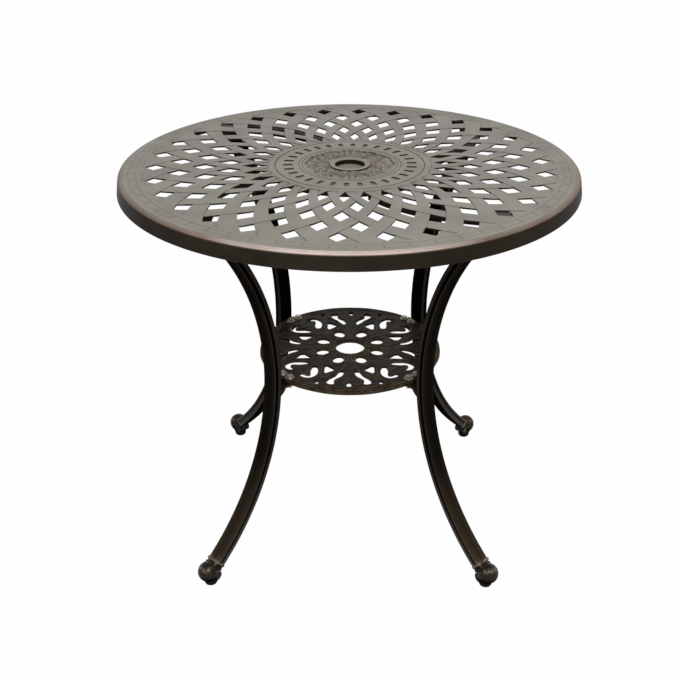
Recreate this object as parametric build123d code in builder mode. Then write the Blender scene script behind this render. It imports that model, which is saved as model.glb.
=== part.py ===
"""Round cast-metal garden table: lattice top, bent reeded legs, scrolled shelf and levelling feet.

Millimetres, +Z up. The origin is on the floor under the middle of the top.
"""
import os
from math import asin, cos, degrees, radians, sin, sqrt

from build123d import *

# Overall sizes
table_height = 720.0
top_diameter = 800.0
glide_circle_radius = 357.0

# Top casting
plate_thickness = 4.0
skirt_depth = 28.0
skirt_wall = 4.5
skirt_flare = 4.0
rim_round = 5.0
skirt_lip_round = 1.5
skirt_root_round = 3.0
border_width = 41.0
arm_count = 30
row_count = 5
arm_angle_inner = 5.4
arm_angle_outer = 6.8
arm_angle_power = 3
lattice_turn = 0.9
medallion_thickness = 9.0
foliage_ring_width = 42.0
recess_depth = 3.0
inner_ring_width = 22.5
outer_ring_width = 27.5
slot_length = 17.0
slot_width = 8.0
slot_depth = 4.0
slot_corner = 2.0
rib_width = 8.0
rib_depth = 18.0

# Umbrella hole and its plug
umbrella_bore_radius = 26.0
umbrella_bore_length = 14.0
umbrella_collar_wall = 7.5
plug_ledge = 1.5
plug_flange_width = 7.5
plug_wall = 1.5
plug_dish_depth = 9.0
plug_floor = 2.0
plug_clearance = 0.3
plug_floor_room = 1.0

# Legs
leg_width = 29.0
leg_depth = 18.5
leg_wall = 2.4
leg_corner = 3.0
reed_groove_width = 2.4
reed_groove_depth = 1.0
reed_groove_inset = 5.0
waist_above_shelf = 19.5

# Leg flanges and the pads they bolt to
flange_thickness = 5.0
flange_inner_reach = 20.0
flange_outer_reach = 37.0
flange_corner = 6.0
flange_skirt_gap = 22.5
flange_bolt_end = 13.0
flange_bolt_side = 7.0
flange_bolt_spacing = 18.0
pad_thickness = 10.0
pad_margin = 2.0

# Bolts, nuts and washers
bolt_diameter = 6.0
bolt_head_across = 10.0
bolt_head_height = 4.0
bolt_hole_clearance = 0.3
thread_clearance = 0.05
thread_end_room = 1.0
washer_diameter = 12.0
shelf_washer_diameter = 16.0
washer_thickness = 1.2
nut_across = 10.0
nut_height = 5.0
bolt_tail = 3.0

# Lower shelf and its brackets
shelf_height = 360.0
shelf_radius = 170.0
shelf_thickness = 7.0
shelf_edge_round = 2.5
shelf_relief_depth = 3.0
shelf_hub_width = 8.0
shelf_rim_width = 24.0
shelf_bore_ease = 1.0
shelf_leg_gap = 12.2
shelf_bolt_inset = 10.0
shelf_bolt_spacing = 19.0
bracket_tab_thickness = 5.0
bracket_tab_side = 8.5
bracket_tab_end = 12.0
bracket_web_nut_room = 0.6
bracket_web_drop = 26.0
bracket_web_reach = 12.0
bracket_web_arc = 32.0
weld_gap = 0.05

# Scroll feet
collar_point_height = 42.4
collar_point_inset = 16.4
ridge_margin = 1.6
ridge_length = 5.0
ridge_gap = 3.0
ridge_groove_margin = -0.6
ball_radius = 19.0
ball_reach = 28.6
ball_lift = 5.4
heel_margin = 1.0
heel_height = 22.0
spigot_length = 25.0
spigot_clearance = 0.2

# Levelling feet
pad_radius = 12.0
pad_height = 14.0
pad_edge_round = 3.0
pad_to_heel_gap = 3.0
stud_diameter = 8.0
stud_head_margin = 3.0
stud_head_height = 4.0
stud_head_floor = 4.0
insert_wall = 2.0
insert_length = 14.0
insert_clearance = 0.05
stud_clearance = 0.05
stud_head_room = 0.08
stud_travel_up = 2.0
stud_end_room = 3.0

# Places worked out from the sizes above: the top, from its middle outwards
top_radius = top_diameter / 2
plug_seat_radius = umbrella_bore_radius + plug_ledge
umbrella_collar_radius = plug_seat_radius + umbrella_collar_wall
plug_flange_radius = plug_seat_radius + plug_flange_width
plug_underside = table_height - plug_dish_depth - plug_floor
plug_ledge_height = plug_underside - plug_floor_room
umbrella_collar_underside = plug_ledge_height - umbrella_bore_length
recess_radius = plug_flange_radius + foliage_ring_width
slot_circle_radius = recess_radius + inner_ring_width + slot_length / 2
medallion_radius = recess_radius + inner_ring_width + slot_length + outer_ring_width
lattice_outer_radius = top_radius - border_width
row_pitch = (lattice_outer_radius - medallion_radius) / row_count
arm_pitch = 360 / arm_count
rim_top_radius = top_radius - skirt_flare

# The legs' upper ends
plate_underside = table_height - plate_thickness
pad_underside = plate_underside - pad_thickness
flange_underside = pad_underside - flange_thickness
leg_top_radius = rim_top_radius - skirt_wall - flange_skirt_gap - pad_margin - flange_outer_reach
flange_bolt_radius = leg_top_radius + flange_outer_reach - flange_bolt_end
flange_width = flange_bolt_spacing + 2 * flange_bolt_side
flange_middle_radius = leg_top_radius + (flange_outer_reach - flange_inner_reach) / 2

# The shelf and the legs' waists
shelf_underside = shelf_height - shelf_thickness
shelf_bore_radius = umbrella_bore_radius + shelf_bore_ease
shelf_bolt_radius = shelf_radius - shelf_bolt_inset
tab_underside = shelf_underside - bracket_tab_thickness
tab_inner_radius = shelf_bolt_radius - bracket_tab_end
bracket_tab_width = shelf_bolt_spacing + 2 * bracket_tab_side
nut_corner_radius = nut_across / 2 / cos(radians(30))
bracket_web_width = shelf_bolt_spacing - 2 * nut_corner_radius - 2 * bracket_web_nut_room
waist_height = shelf_height + waist_above_shelf
waist_radius = shelf_radius + shelf_leg_gap + leg_depth / 2

# The feet
collar_point_radius = glide_circle_radius - collar_point_inset
heel_radius = pad_radius + heel_margin
heel_underside = pad_height + pad_to_heel_gap
insert_radius = stud_diameter / 2 + stud_clearance + insert_wall
stud_head_radius = stud_diameter / 2 + stud_head_margin
stud_length = heel_underside + insert_length - stud_head_floor
leg_angles = {"back_right": 45.0, "back_left": 135.0, "front_left": 225.0, "front_right": 315.0}
lattice_phase = leg_angles["back_left"] + lattice_turn

# The leg is two tangent arcs that meet at the waist, bulging towards the table's axis
upper_rise = flange_underside - waist_height
upper_swing = leg_top_radius - waist_radius
upper_arc_radius = (upper_rise**2 + upper_swing**2) / (2 * upper_swing)
upper_arc_angle = degrees(asin(upper_rise / upper_arc_radius))
lower_drop = waist_height - collar_point_height
lower_swing = collar_point_radius - waist_radius
lower_arc_radius = (lower_drop**2 + lower_swing**2) / (2 * lower_swing)
lower_arc_angle = degrees(asin(lower_drop / lower_arc_radius))
upper_arc_centre = (waist_radius + upper_arc_radius, waist_height)
lower_arc_centre = (waist_radius + lower_arc_radius, waist_height)

os.makedirs("parts", exist_ok=True)


def save(part, name):
    """Name a finished piece and write it."""
    part.label = name
    export_step(part, f"parts/{name}.step")


def polar(radius, angle):
    """Point on the plan, from a radius and an angle in degrees."""
    return (radius * cos(radians(angle)), radius * sin(radians(angle)))


def beside(radius, offset, angle):
    """Point on the plan at a radius along an angle, stepped sideways by an offset."""
    x, y = polar(radius, angle)
    return (x - offset * sin(radians(angle)), y + offset * cos(radians(angle)))


def radial_plane(angle):
    """Upright plane through the table's axis: its x is the radius and its y is the height."""
    a = radians(angle)
    return Plane(origin=(0, 0, 0), x_dir=(cos(a), sin(a), 0), z_dir=(sin(a), -cos(a), 0))


def leg_inner_face_radius(height, gap):
    """Radius of the leg's inner face below the waist, less a gap."""
    face_radius = lower_arc_radius + leg_depth / 2 + gap
    return lower_arc_centre[0] - sqrt(face_radius**2 - (waist_height - height) ** 2)


flange_bolt_points = []
shelf_bolt_points = []
for leg_angle in leg_angles.values():
    for side in (-1, 1):
        flange_bolt_points.append(
            beside(flange_bolt_radius, side * flange_bolt_spacing / 2, leg_angle)
        )
        shelf_bolt_points.append(
            beside(shelf_bolt_radius, side * shelf_bolt_spacing / 2, leg_angle)
        )

# One lattice cell of each row, with its long axis along +X; its sides follow the arms
row_radii = [medallion_radius + (row + 0.5) * row_pitch for row in range(row_count)]
cell_faces = []
for row, radius in enumerate(row_radii):
    broadening = (row / (row_count - 1)) ** arm_angle_power
    arm_angle = arm_angle_inner + (arm_angle_outer - arm_angle_inner) * broadening
    half_angle = (arm_pitch - arm_angle) / 2
    half_length = row_pitch * half_angle / (arm_pitch / 2)
    tips = [(radius + half_length, 0), (radius - half_length, 0)]
    corners = [tips[0], (radius, half_angle), tips[1], (radius, -half_angle)]
    with BuildSketch() as cell:
        with BuildLine():
            for (r0, a0), (r1, a1) in zip(corners, corners[1:] + corners[:1]):
                ThreePointArc(polar(r0, a0), polar((r0 + r1) / 2, (a0 + a1) / 2), polar(r1, a1))
        make_face()
    cell_faces.append(cell.sketch)

# Lattice ring of the top: rows of cells, each row staggered by half an arm from the next
with BuildSketch(Plane.XY.offset(plate_underside)) as lattice_ring:
    Circle(lattice_outer_radius)
    Circle(medallion_radius, mode=Mode.SUBTRACT)
    for row in range(row_count):
        stagger = (row_count - 1 - row) % 2 * arm_pitch / 2
        with PolarLocations(0, arm_count, start_angle=lattice_phase + stagger):
            add(cell_faces[row], mode=Mode.SUBTRACT)

# Medallion of the top: a thicker disc with a recess, a ring of slots and the umbrella collar below
with BuildPart() as medallion:
    with BuildSketch(Plane.XZ):
        with BuildLine():
            Polyline(
                (plug_seat_radius, plug_ledge_height),
                (plug_seat_radius, table_height - recess_depth),
                (recess_radius, table_height - recess_depth),
                (recess_radius, table_height),
                (medallion_radius, table_height),
                (medallion_radius, table_height - medallion_thickness),
                (umbrella_collar_radius, table_height - medallion_thickness),
                (umbrella_collar_radius, umbrella_collar_underside),
                (umbrella_bore_radius, umbrella_collar_underside),
                (umbrella_bore_radius, plug_ledge_height),
                close=True,
            )
        make_face()
    revolve(axis=Axis.Z)
    with BuildSketch(Plane.XY.offset(table_height)):
        with PolarLocations(slot_circle_radius, arm_count, start_angle=lattice_phase):
            RectangleRounded(slot_length, slot_width, slot_corner)
    extrude(amount=-slot_depth, mode=Mode.SUBTRACT)

# Border of the top, with its rounded edge and the skirt that turns down and flares out
with BuildPart() as border:
    with BuildSketch(Plane.XZ) as border_profile:
        with BuildLine():
            Polyline(
                (lattice_outer_radius, table_height),
                (rim_top_radius, table_height),
                (top_radius, table_height - skirt_depth),
                (top_radius - skirt_wall, table_height - skirt_depth),
                (rim_top_radius - skirt_wall, plate_underside),
                (lattice_outer_radius, plate_underside),
                close=True,
            )
        make_face()
        rounded_corners = (
            (rim_top_radius, table_height, rim_round),
            (top_radius, table_height - skirt_depth, skirt_lip_round),
            (rim_top_radius - skirt_wall, plate_underside, skirt_root_round),
        )
        for corner_radius, corner_height, rounding in rounded_corners:
            fillet(border_profile.vertices().sort_by_distance((corner_radius, corner_height))[0], rounding)
    revolve(axis=Axis.Z)

# Underside of the top: ribs that follow the arms from the medallion to the pads the legs bolt to
with BuildPart() as underside:
    with BuildSketch(Plane.XY.offset(plate_underside)):
        rib_radii = (medallion_radius - rib_width, leg_top_radius - rib_width)
        for leg_angle in leg_angles.values():
            rib_points = []
            for radius in (rib_radii[0], sum(rib_radii) / 2, rib_radii[1]):
                turn = (flange_bolt_radius - radius) / row_pitch * arm_pitch / 2
                rib_points.append(polar(radius, leg_angle + lattice_turn - turn))
            with BuildLine():
                ThreePointArc(*rib_points)
            trace(line_width=rib_width)
    extrude(amount=plate_thickness - rib_depth)
    for leg_angle in leg_angles.values():
        with BuildSketch(Plane.XY.offset(plate_underside).rotated((0, 0, leg_angle))):
            pad_length = flange_inner_reach + flange_outer_reach + 2 * pad_margin
            with Locations((flange_middle_radius, 0)):
                RectangleRounded(pad_length, flange_width + 2 * pad_margin, flange_corner + pad_margin)
        extrude(amount=-pad_thickness)
    with BuildSketch(Plane.XY.offset(pad_underside)):
        with Locations(*flange_bolt_points):
            Circle(bolt_diameter / 2 + thread_clearance)
    extrude(amount=pad_thickness, mode=Mode.SUBTRACT)

# Top casting: all of it is poured as one piece
with BuildPart() as top_casting:
    extrude(lattice_ring.sketch, amount=plate_thickness)
    add(medallion.part)
    add(border.part)
    add(underside.part)
save(top_casting.part, "top_casting")

# Umbrella hole plug: a flanged dish that rests in the medallion's recess
with BuildPart() as umbrella_hole_plug:
    with BuildSketch(Plane.XZ):
        dish_radius = plug_seat_radius - plug_clearance
        with BuildLine():
            Polyline(
                (0, table_height - plug_dish_depth),
                (dish_radius - plug_wall, table_height - plug_dish_depth),
                (dish_radius - plug_wall, table_height),
                (plug_flange_radius, table_height),
                (plug_flange_radius, table_height - recess_depth),
                (dish_radius, table_height - recess_depth),
                (dish_radius, plug_underside),
                (0, plug_underside),
                close=True,
            )
        make_face()
    revolve(axis=Axis.Z)
save(umbrella_hole_plug.part, "umbrella_hole_plug")


def shelf_point(share, angle):
    """Point of the shelf's scrollwork: share of the way from the bore to the edge, and an angle."""
    return polar(shelf_bore_radius + share * (shelf_radius - shelf_bore_radius), angle)


# The scrollwork's openings in one eighth of the shelf, between an axis at 0 and a diagonal at 45
leaf = [(0.11, 22.5), (0.21, 12.5), (0.28, 22.5), (0.21, 32.5)]
wedge = [(0.59, 24), (0.45, 18.5), (0.405, 31)]
comma = [(0.81, 11), (0.72, 12), (0.585, 6.5), (0.475, 8), (0.60, 13), (0.73, 17), (0.81, 16)]
hook = [(0.78, 40), (0.80, 33.5), (0.73, 29.5), (0.565, 32), (0.505, 40), (0.60, 38.5), (0.72, 34)]
hook += [(0.75, 40)]
dot = [(0.80, 23), (0.83, 21.6), (0.87, 23), (0.83, 24.4)]
axis_wedge = [(0.85, -2.2), (0.85, 2.2), (0.73, 0)]

# Lower shelf: a disc with a pole bore, pierced by scrollwork that is thinner than its rim and hub
with BuildPart() as lower_shelf:
    with BuildSketch(Plane.XY.offset(shelf_underside)):
        Circle(shelf_radius)
        Circle(shelf_bore_radius, mode=Mode.SUBTRACT)
        with Locations(*shelf_bolt_points):
            Circle(bolt_diameter / 2 + bolt_hole_clearance, mode=Mode.SUBTRACT)
    extrude(amount=shelf_thickness)
    fillet(lower_shelf.edges().filter_by(GeomType.CIRCLE).sort_by(SortBy.RADIUS)[-2:], shelf_edge_round)
    with BuildSketch(Plane.XY.offset(shelf_underside)):
        for quarter in range(len(leg_angles)):
            axis_angle = 90 * quarter
            with BuildLine():
                Polyline(*[shelf_point(share, axis_angle + turn) for share, turn in axis_wedge], close=True)
            make_face()
            for hand in (-1, 1):
                for outline in (leaf, comma, hook, dot):
                    points = [shelf_point(share, axis_angle + hand * turn) for share, turn in outline]
                    with BuildLine():
                        Spline(*points, periodic=True)
                    make_face()
                corners = [shelf_point(share, axis_angle + hand * turn) for share, turn in wedge]
                with BuildLine():
                    Polyline(*corners, close=True)
                make_face()
    extrude(amount=shelf_thickness, mode=Mode.SUBTRACT)
    with BuildSketch(Plane.XY.offset(shelf_underside)):
        Circle(shelf_radius - shelf_rim_width)
        Circle(shelf_bore_radius + shelf_hub_width, mode=Mode.SUBTRACT)
    extrude(amount=shelf_relief_depth, mode=Mode.SUBTRACT)
save(lower_shelf.part, "lower_shelf")

# The four corners: each has a leg, its flange and shelf bracket, a scroll foot and a levelling foot
for corner, leg_angle in leg_angles.items():
    upright = radial_plane(leg_angle)
    sideways = upright.z_dir
    glide_centre = polar(glide_circle_radius, leg_angle)

    # Bent reeded tube, cut flat under the flange
    with BuildPart() as leg:
        with BuildLine(upright) as leg_path:
            overrun = degrees(leg_depth / upper_arc_radius)
            upper_sweep = upper_arc_angle + overrun
            CenterArc(upper_arc_centre, upper_arc_radius, 180 - upper_sweep, upper_sweep)
            CenterArc(lower_arc_centre, lower_arc_radius, 180, lower_arc_angle)
        tube_start = Plane(origin=leg_path.line @ 0, x_dir=sideways, z_dir=leg_path.line % 0)
        with BuildSketch(tube_start):
            RectangleRounded(leg_width, leg_depth, leg_corner)
            groove_places = leg_width / 2 - reed_groove_inset
            with Locations((-groove_places, -leg_depth / 2), (groove_places, -leg_depth / 2)):
                Rectangle(reed_groove_width, 2 * reed_groove_depth, mode=Mode.SUBTRACT)
            with Locations((-groove_places, leg_depth / 2), (groove_places, leg_depth / 2)):
                Rectangle(reed_groove_width, 2 * reed_groove_depth, mode=Mode.SUBTRACT)
            with Locations((-leg_width / 2, 0), (leg_width / 2, 0)):
                Rectangle(2 * reed_groove_depth, reed_groove_width, mode=Mode.SUBTRACT)
            Rectangle(leg_width - 2 * leg_wall, leg_depth - 2 * leg_wall, mode=Mode.SUBTRACT)
        sweep(path=leg_path.line)
        split(bisect_by=Plane.XY.offset(flange_underside), keep=Keep.BOTTOM)
    save(leg.part, f"leg_{corner}")

    # Flange welded across the tube's top end
    with BuildPart() as leg_flange:
        with BuildSketch(Plane.XY.offset(flange_underside).rotated((0, 0, leg_angle))):
            with Locations((flange_middle_radius, 0)):
                RectangleRounded(flange_inner_reach + flange_outer_reach, flange_width, flange_corner)
            for side in (-1, 1):
                with Locations((flange_bolt_radius, side * flange_bolt_spacing / 2)):
                    Circle(bolt_diameter / 2 + bolt_hole_clearance, mode=Mode.SUBTRACT)
        extrude(amount=flange_thickness)
    save(leg_flange.part, f"leg_flange_{corner}")

    # Bracket welded to the leg's inner face: a tab under the shelf and a curved web below it
    with BuildPart() as shelf_bracket:
        web_foot = tab_underside - bracket_web_drop
        tab_top_face = leg_inner_face_radius(shelf_underside, weld_gap)
        tab_low_face = leg_inner_face_radius(tab_underside, weld_gap)
        web_foot_face = leg_inner_face_radius(web_foot, weld_gap)
        with BuildSketch(upright):
            with BuildLine():
                Polyline(
                    (tab_low_face, tab_underside),
                    (tab_inner_radius, tab_underside),
                    (tab_inner_radius, shelf_underside),
                    (tab_top_face, shelf_underside),
                )
                middle = (shelf_underside + tab_underside) / 2
                ThreePointArc(
                    (tab_top_face, shelf_underside),
                    (leg_inner_face_radius(middle, weld_gap), middle),
                    (tab_low_face, tab_underside),
                )
            make_face()
        extrude(amount=bracket_tab_width / 2, both=True)
        with BuildSketch(upright):
            with BuildLine():
                web_inner = tab_inner_radius + bracket_web_reach
                Line((tab_low_face, tab_underside), (web_inner, tab_underside))
                RadiusArc((web_inner, tab_underside), (web_foot_face, web_foot), -bracket_web_arc)
                middle = (tab_underside + web_foot) / 2
                ThreePointArc(
                    (web_foot_face, web_foot),
                    (leg_inner_face_radius(middle, weld_gap), middle),
                    (tab_low_face, tab_underside),
                )
            make_face()
        extrude(amount=bracket_web_width / 2, both=True)
        with BuildSketch(Plane.XY.offset(tab_underside).rotated((0, 0, leg_angle))):
            for side in (-1, 1):
                with Locations((shelf_bolt_radius, side * shelf_bolt_spacing / 2)):
                    Circle(bolt_diameter / 2 + bolt_hole_clearance)
        extrude(amount=bracket_tab_thickness, mode=Mode.SUBTRACT)
    save(shelf_bracket.part, f"shelf_bracket_{corner}")

    # Cast scroll foot: a spigot up the tube, a two-ridge collar, the scroll's ball and a heel
    with BuildPart() as scroll_foot:
        with BuildLine(upright) as spigot_path:
            spigot_angle = degrees(spigot_length / lower_arc_radius)
            CenterArc(lower_arc_centre, lower_arc_radius, 180 + lower_arc_angle, -spigot_angle)
        collar_point = spigot_path.line @ 0
        down_leg = spigot_path.line % 0 * -1
        with BuildSketch(Plane(origin=collar_point, x_dir=sideways, z_dir=spigot_path.line % 0)):
            spigot_trim = 2 * (leg_wall + spigot_clearance)
            Rectangle(leg_width - spigot_trim, leg_depth - spigot_trim)
        sweep(path=spigot_path.line)
        ridge = (ridge_margin, ridge_length)
        ridge_groove = (ridge_groove_margin, ridge_gap)
        ridge_step = 0.0
        for margin, length in (ridge, ridge_groove, ridge):
            ridge_origin = collar_point + down_leg * ridge_step
            with BuildSketch(Plane(origin=ridge_origin, x_dir=sideways, z_dir=down_leg)):
                RectangleRounded(leg_width + margin, leg_depth + margin, leg_corner)
            extrude(amount=length)
            ridge_step += length
        ball_centre = collar_point + down_leg * ball_reach + Vector(0, 0, ball_lift)
        with BuildSketch(Plane(origin=ball_centre, x_dir=down_leg, z_dir=sideways)):
            with BuildLine():
                CenterArc((0, 0), ball_radius, 0, 180)
                Line((-ball_radius, 0), (ball_radius, 0))
            make_face()
        revolve(axis=Axis(ball_centre, down_leg))
        with BuildSketch(Plane.XY.offset(heel_underside)):
            with Locations(glide_centre):
                Circle(heel_radius)
        extrude(amount=heel_height)
        split(bisect_by=Plane.XY.offset(heel_underside), keep=Keep.TOP)
        bore_depth = stud_head_floor + stud_length + stud_travel_up + stud_end_room - heel_underside
        with BuildSketch(Plane.XY.offset(heel_underside)):
            with Locations(glide_centre):
                Circle(insert_radius + insert_clearance)
        extrude(amount=max(bore_depth, insert_length), mode=Mode.SUBTRACT)
    save(scroll_foot.part, f"scroll_foot_{corner}")

    # Threaded insert in the heel, drawn with a plain bore
    with BuildPart() as foot_insert:
        with BuildSketch(Plane.XY.offset(heel_underside)):
            with Locations(glide_centre):
                Circle(insert_radius)
                Circle(stud_diameter / 2 + stud_clearance, mode=Mode.SUBTRACT)
        extrude(amount=insert_length)
    save(foot_insert.part, f"foot_insert_{corner}")

    # Levelling stud: a disc head held in the pad and a shank up the insert
    with BuildPart() as levelling_stud:
        with BuildSketch(Plane.XY.offset(stud_head_floor)):
            with Locations(glide_centre):
                Circle(stud_head_radius)
        extrude(amount=stud_head_height)
        with BuildSketch(Plane.XY.offset(stud_head_floor)):
            with Locations(glide_centre):
                Circle(stud_diameter / 2)
        extrude(amount=stud_length)
    save(levelling_stud.part, f"levelling_stud_{corner}")

    # Glide pad moulded round the stud's head
    with BuildPart() as glide_pad:
        with BuildSketch():
            with Locations(glide_centre):
                Circle(pad_radius)
        extrude(amount=pad_height)
        fillet(glide_pad.edges().filter_by(GeomType.CIRCLE), pad_edge_round)
        with BuildSketch(Plane.XY.offset(stud_head_floor)):
            with Locations(glide_centre):
                Circle(stud_head_radius + stud_head_room)
        extrude(amount=stud_head_height + stud_head_room, mode=Mode.SUBTRACT)
        with BuildSketch(Plane.XY.offset(stud_head_floor)):
            with Locations(glide_centre):
                Circle(stud_diameter / 2 + stud_clearance)
        extrude(amount=pad_height, mode=Mode.SUBTRACT)
    save(glide_pad.part, f"glide_pad_{corner}")

# Bolts that hold the flanges up against the top casting's pads
with BuildPart() as top_bolts:
    with BuildSketch(Plane.XY.offset(flange_underside - washer_thickness)):
        with Locations(*flange_bolt_points):
            RegularPolygon(bolt_head_across / 2, 6, major_radius=False)
    extrude(amount=-bolt_head_height)
    with BuildSketch(Plane.XY.offset(flange_underside - washer_thickness)):
        with Locations(*flange_bolt_points):
            Circle(bolt_diameter / 2)
    extrude(amount=washer_thickness + flange_thickness + pad_thickness - thread_end_room)
save(top_bolts.part, "top_bolts")

# Washers under the heads of the flange bolts
with BuildPart() as top_washers:
    with BuildSketch(Plane.XY.offset(flange_underside)):
        with Locations(*flange_bolt_points):
            Circle(washer_diameter / 2)
            Circle(bolt_diameter / 2 + bolt_hole_clearance, mode=Mode.SUBTRACT)
    extrude(amount=-washer_thickness)
save(top_washers.part, "top_washers")

# Bolts that hold the shelf down on its brackets
with BuildPart() as shelf_bolts:
    head_underside = shelf_height + washer_thickness
    with BuildSketch(Plane.XY.offset(head_underside)):
        with Locations(*shelf_bolt_points):
            RegularPolygon(bolt_head_across / 2, 6, major_radius=False)
    extrude(amount=bolt_head_height)
    with BuildSketch(Plane.XY.offset(head_underside)):
        with Locations(*shelf_bolt_points):
            Circle(bolt_diameter / 2)
    extrude(amount=-(head_underside - tab_underside + nut_height + bolt_tail))
save(shelf_bolts.part, "shelf_bolts")

# Washers under the heads of the shelf bolts
with BuildPart() as shelf_washers:
    with BuildSketch(Plane.XY.offset(shelf_height)):
        with Locations(*shelf_bolt_points):
            Circle(shelf_washer_diameter / 2)
            Circle(bolt_diameter / 2 + bolt_hole_clearance, mode=Mode.SUBTRACT)
    extrude(amount=washer_thickness)
save(shelf_washers.part, "shelf_washers")

# Nuts on the shelf bolts, under the brackets' tabs
with BuildPart() as shelf_nuts:
    with BuildSketch(Plane.XY.offset(tab_underside)):
        with Locations(*shelf_bolt_points):
            RegularPolygon(nut_across / 2, 6, major_radius=False)
            Circle(bolt_diameter / 2 + thread_clearance, mode=Mode.SUBTRACT)
    extrude(amount=-nut_height)
save(shelf_nuts.part, "shelf_nuts")
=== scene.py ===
"""Looks of the round garden table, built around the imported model. Metres, +Z up."""

from math import atan2, cos, hypot, pi, radians, sin

import bmesh
import bpy
from mathutils import Matrix, Vector


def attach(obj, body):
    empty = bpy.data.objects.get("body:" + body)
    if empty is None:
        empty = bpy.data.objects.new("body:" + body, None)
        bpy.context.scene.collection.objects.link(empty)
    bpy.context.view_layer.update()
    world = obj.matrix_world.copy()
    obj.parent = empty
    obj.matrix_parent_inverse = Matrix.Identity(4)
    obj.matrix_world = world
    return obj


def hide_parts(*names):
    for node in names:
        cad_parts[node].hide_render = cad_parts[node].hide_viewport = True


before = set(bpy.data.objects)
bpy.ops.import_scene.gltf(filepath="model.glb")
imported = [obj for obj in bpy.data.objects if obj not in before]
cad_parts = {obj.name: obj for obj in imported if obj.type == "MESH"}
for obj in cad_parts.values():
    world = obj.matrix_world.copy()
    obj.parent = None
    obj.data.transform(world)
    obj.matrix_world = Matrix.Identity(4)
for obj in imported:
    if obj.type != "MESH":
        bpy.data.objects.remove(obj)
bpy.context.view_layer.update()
mm = 0.001

# LATTICE OF THE TOP
# Thirty straps spiral each way between the medallion and the border, over and under one another.
# The real ones are cast in one with the top; here they are bars wound from one straight strip.
table_height = 720 * mm
arm_count = 30
arm_pitch = radians(360 / arm_count)
row_pitch = 43 * mm
first_row_radius = 165.5 * mm
lattice_phase = radians(135.9)
strap_inner_radius = 141 * mm
strap_outer_radius = 363 * mm
strap_overrun = 14 * mm
strap_thickness = 3.0 * mm
strap_flat_width = 25 * mm
strap_edge_round = 0.6 * mm
strap_undercut = 0.8 * mm
strap_rise = 0.3 * mm
strap_level = table_height - 0.45 * mm
strap_steps = 56
strap_half_angle = 2.7
strap_widening = 0.7
widest_row = 4
strap_dwell = 1.7


def nothing_selected():
    """Leave edit mode with no object selected."""
    if bpy.context.mode != "OBJECT":
        bpy.ops.object.mode_set(mode="OBJECT")
    bpy.ops.object.select_all(action="DESELECT")


def work_on(piece):
    """Make one object the only selected and active one."""
    nothing_selected()
    piece.select_set(True)
    bpy.context.view_layer.objects.active = piece


def pick_edges(piece, test):
    """In edit mode, select the edges whose middle and direction pass a test."""
    bpy.ops.mesh.select_mode(type="EDGE")
    bpy.ops.mesh.select_all(action="DESELECT")
    shape = bmesh.from_edit_mesh(piece.data)
    for edge in shape.edges:
        start, end = edge.verts[0].co, edge.verts[1].co
        edge.select_set(test((start + end) / 2, (end - start).normalized()))
    bmesh.update_edit_mesh(piece.data)


def tidy_mesh(piece, gap=1e-6):
    """Merge doubled points and turn every face outwards."""
    work_on(piece)
    bpy.ops.object.mode_set(mode="EDIT")
    bpy.ops.mesh.select_all(action="SELECT")
    bpy.ops.mesh.remove_doubles(threshold=gap)
    bpy.ops.mesh.normals_make_consistent(inside=False)
    bpy.ops.object.mode_set(mode="OBJECT")


def ring_copies(piece, count):
    """Copy the whole mesh round the table's axis, all in one object."""
    work_on(piece)
    bpy.ops.object.mode_set(mode="EDIT")
    bpy.ops.mesh.select_all(action="SELECT")
    bpy.ops.mesh.spin(steps=count - 1, angle=2 * pi * (count - 1) / count, dupli=True,
                      center=(0, 0, 0), axis=(0, 0, 1))
    bpy.ops.object.mode_set(mode="OBJECT")


def cast_with(base, tool, how):
    """Pour a closed shape into the base, or cut it out of the base, and use the tool up."""
    change = base.modifiers.new("casting", "BOOLEAN")
    change.operation = how
    change.solver = "MANIFOLD"
    change.object = tool
    work_on(base)
    bpy.ops.object.modifier_apply(modifier=change.name)
    bpy.data.objects.remove(tool)


def block(name, size, middle, turn=None, rounding=0, edges=None, segments=3):
    """A cube brought to size, its chosen edges rounded, then turned and put in its place."""
    nothing_selected()
    bpy.ops.mesh.primitive_cube_add(size=1)
    piece = bpy.context.object
    piece.name = name
    bpy.ops.object.mode_set(mode="EDIT")
    bpy.ops.transform.resize(value=size)
    if rounding:
        pick_edges(piece, edges or (lambda middle, along: True))
        bpy.ops.mesh.bevel(offset=rounding, segments=segments, affect="EDGES")
    bpy.ops.object.mode_set(mode="OBJECT")
    place = Matrix.Translation(middle)
    if turn is not None:
        place = place @ turn.to_4x4()
    piece.data.transform(place)
    return piece


def upright_edges(middle, along):
    """True for an edge that stands upright."""
    return abs(along.z) > 0.9


def wound_bar(name, width, thickness, steps, rounding, undercut, inner, outer, place):
    """A straight bar along the radius, cut into steps, each point then put where place says."""
    nothing_selected()
    bpy.ops.mesh.primitive_cube_add(size=1)
    bar = bpy.context.object
    bar.name = name
    underside = 0.01 * thickness - thickness / 2
    bpy.ops.object.mode_set(mode="EDIT")
    bpy.ops.transform.resize(value=(width, outer - inner, thickness))
    pick_edges(bar, lambda middle, along: abs(along.y) > 0.9)
    bpy.ops.mesh.subdivide(number_cuts=steps)
    pick_edges(bar, lambda middle, along: abs(along.y) > 0.9 and middle.z > 0)
    bpy.ops.mesh.bevel(offset=rounding, segments=3, affect="EDGES")
    pick_edges(bar, lambda middle, along: abs(along.y) > 0.9 and middle.z < underside)
    bpy.ops.mesh.bevel(offset=undercut, segments=1, affect="EDGES")
    bpy.ops.object.mode_set(mode="OBJECT")
    for point in bar.data.vertices:
        across, along, height = point.co
        radius = (inner + outer) / 2 + along
        radius, turn, level = place(radius, across / (width / 2), height / thickness)
        point.co = (radius * cos(turn), radius * sin(turn), level)
    return bar


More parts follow.
